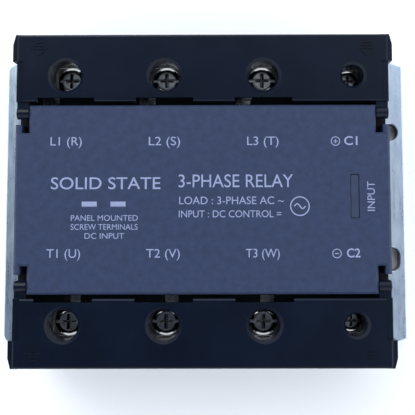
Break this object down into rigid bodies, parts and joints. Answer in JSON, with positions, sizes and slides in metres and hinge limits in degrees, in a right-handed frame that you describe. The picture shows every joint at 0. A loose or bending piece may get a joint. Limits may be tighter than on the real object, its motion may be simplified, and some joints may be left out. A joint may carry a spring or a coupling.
{
  "type": "three-phase solid state relay",
  "caption": "Panel-mount three-phase solid state relay with a metal base plate, a moulded housing, hinged terminal covers and screw terminals along both ends.",
  "frame": {"origin": "centre of the base plate's underside", "axes": "+X along a row of terminals towards the control terminals, +Y towards the line end, +Z out of the front face"},
  "size_m": [0.132, 0.0974, 0.0382],
  "materials": {
    "plate_aluminium": "brushed",
    "housing_plastic": "satin moulded blue-grey",
    "block_plastic": "satin black moulding",
    "cover_plastic": "glossy dark navy",
    "tinned_copper": "tin plated",
    "zinc_steel": "zinc plated",
    "screw_steel": "bright plated",
    "circuit_board": "green solder mask",
    "black_epoxy": "moulded epoxy",
    "capacitor_film": "dipped film",
    "resistor_body": "lacquered",
    "alumina": "fired alumina",
    "bare_copper": "bare copper",
    "silicon_chip": "passivated silicon",
    "led_lens": "tinted lens",
    "light_guide_clear": "clear moulded"
  },
  "bodies": {
    "root": {"base_plate": "plate_aluminium", "housing": "housing_plastic", "line_terminal_block": "block_plastic", "load_terminal_block": "block_plastic", "line_busbar_1": "tinned_copper", "line_busbar_2": "tinned_copper", "line_busbar_3": "tinned_copper", "load_busbar_1": "tinned_copper", "load_busbar_2": "tinned_copper", "load_busbar_3": "tinned_copper", "control_contact_plus": "tinned_copper", "control_contact_minus": "tinned_copper", "terminal_nuts": "zinc_steel", "control_nuts": "zinc_steel", "ceramic_tiles": "alumina", "copper_pads": "bare_copper", "thyristor_chips": "silicon_chip", "chip_straps": "bare_copper", "gate_pins": "tinned_copper", "control_board": "circuit_board", "board_screws": "zinc_steel", "optocouplers": "black_epoxy", "snubber_capacitors": "capacitor_film", "snubber_resistors": "resistor_body", "input_regulator": "black_epoxy", "input_diode": "black_epoxy", "status_led": "led_lens", "light_guide": "light_guide_clear", "case_screws": "zinc_steel"},
    "line_cover": {"line_cover": "cover_plastic"},
    "load_cover": {"load_cover": "cover_plastic"},
    "line_clamp_1": {"line_clamp_1": "zinc_steel", "line_washer_1": "zinc_steel"},
    "line_screw_1": {"line_screw_1": "screw_steel"},
    "line_clamp_2": {"line_clamp_2": "zinc_steel", "line_washer_2": "zinc_steel"},
    "line_screw_2": {"line_screw_2": "screw_steel"},
    "line_clamp_3": {"line_clamp_3": "zinc_steel", "line_washer_3": "zinc_steel"},
    "line_screw_3": {"line_screw_3": "screw_steel"},
    "load_clamp_1": {"load_clamp_1": "zinc_steel", "load_washer_1": "zinc_steel"},
    "load_screw_1": {"load_screw_1": "screw_steel"},
    "load_clamp_2": {"load_clamp_2": "zinc_steel", "load_washer_2": "zinc_steel"},
    "load_screw_2": {"load_screw_2": "screw_steel"},
    "load_clamp_3": {"load_clamp_3": "zinc_steel", "load_washer_3": "zinc_steel"},
    "load_screw_3": {"load_screw_3": "screw_steel"},
    "control_clamp_plus": {"control_clamp_plus": "zinc_steel", "control_washer_plus": "zinc_steel"},
    "control_screw_plus": {"control_screw_plus": "screw_steel"},
    "control_clamp_minus": {"control_clamp_minus": "zinc_steel", "control_washer_minus": "zinc_steel"},
    "control_screw_minus": {"control_screw_minus": "screw_steel"}
  },
  "joints": [
    {"name": "line_cover_hinge", "type": "hinge", "parent": "root", "child": "line_cover", "pos_m": [0, 0.0254, 0.036], "axis": [1, 0, 0], "range_deg": [0, 105]},
    {"name": "load_cover_hinge", "type": "hinge", "parent": "root", "child": "load_cover", "pos_m": [0, -0.0254, 0.036], "axis": [-1, 0, 0], "range_deg": [0, 105]},
    {"name": "line_clamp_1_lift", "type": "slide", "parent": "root", "child": "line_clamp_1", "axis": [0, 0, 1], "range_m": [0, 0.003]},
    {"name": "line_screw_1_turn", "type": "hinge", "parent": "line_clamp_1", "child": "line_screw_1", "pos_m": [-0.0404, 0.0364, 0.024], "axis": [0, 0, 1], "range_deg": [0, 1350]},
    {"name": "line_clamp_2_lift", "type": "slide", "parent": "root", "child": "line_clamp_2", "axis": [0, 0, 1], "range_m": [0, 0.003]},
    {"name": "line_screw_2_turn", "type": "hinge", "parent": "line_clamp_2", "child": "line_screw_2", "pos_m": [-0.0112, 0.0364, 0.024], "axis": [0, 0, 1], "range_deg": [0, 1350]},
    {"name": "line_clamp_3_lift", "type": "slide", "parent": "root", "child": "line_clamp_3", "axis": [0, 0, 1], "range_m": [0, 0.003]},
    {"name": "line_screw_3_turn", "type": "hinge", "parent": "line_clamp_3", "child": "line_screw_3", "pos_m": [0.018, 0.0364, 0.024], "axis": [0, 0, 1], "range_deg": [0, 1350]},
    {"name": "load_clamp_1_lift", "type": "slide", "parent": "root", "child": "load_clamp_1", "axis": [0, 0, 1], "range_m": [0, 0.003]},
    {"name": "load_screw_1_turn", "type": "hinge", "parent": "load_clamp_1", "child": "load_screw_1", "pos_m": [-0.0404, -0.0364, 0.024], "axis": [0, 0, 1], "range_deg": [0, 1350]},
    {"name": "load_clamp_2_lift", "type": "slide", "parent": "root", "child": "load_clamp_2", "axis": [0, 0, 1], "range_m": [0, 0.003]},
    {"name": "load_screw_2_turn", "type": "hinge", "parent": "load_clamp_2", "child": "load_screw_2", "pos_m": [-0.0112, -0.0364, 0.024], "axis": [0, 0, 1], "range_deg": [0, 1350]},
    {"name": "load_clamp_3_lift", "type": "slide", "parent": "root", "child": "load_clamp_3", "axis": [0, 0, 1], "range_m": [0, 0.003]},
    {"name": "load_screw_3_turn", "type": "hinge", "parent": "load_clamp_3", "child": "load_screw_3", "pos_m": [0.018, -0.0364, 0.024], "axis": [0, 0, 1], "range_deg": [0, 1350]},
    {"name": "control_clamp_plus_lift", "type": "slide", "parent": "root", "child": "control_clamp_plus", "axis": [0, 0, 1], "range_m": [0, 0.0024]},
    {"name": "control_screw_plus_turn", "type": "hinge", "parent": "control_clamp_plus", "child": "control_screw_plus", "pos_m": [0.0445, 0.0364, 0.024], "axis": [0, 0, 1], "range_deg": [0, 1440]},
    {"name": "control_clamp_minus_lift", "type": "slide", "parent": "root", "child": "control_clamp_minus", "axis": [0, 0, 1], "range_m": [0, 0.0024]},
    {"name": "control_screw_minus_turn", "type": "hinge", "parent": "control_clamp_minus", "child": "control_screw_minus", "pos_m": [0.0445, -0.0364, 0.024], "axis": [0, 0, 1], "range_deg": [0, 1440]}
  ],
  "couplings": [
    {"joint": "line_screw_1_turn", "follows": "line_clamp_1_lift", "rad_per_m": 7854},
    {"joint": "line_screw_2_turn", "follows": "line_clamp_2_lift", "rad_per_m": 7854},
    {"joint": "line_screw_3_turn", "follows": "line_clamp_3_lift", "rad_per_m": 7854},
    {"joint": "load_screw_1_turn", "follows": "load_clamp_1_lift", "rad_per_m": 7854},
    {"joint": "load_screw_2_turn", "follows": "load_clamp_2_lift", "rad_per_m": 7854},
    {"joint": "load_screw_3_turn", "follows": "load_clamp_3_lift", "rad_per_m": 7854},
    {"joint": "control_screw_plus_turn", "follows": "control_clamp_plus_lift", "rad_per_m": 10472},
    {"joint": "control_screw_minus_turn", "follows": "control_clamp_minus_lift", "rad_per_m": 10472}
  ]
}
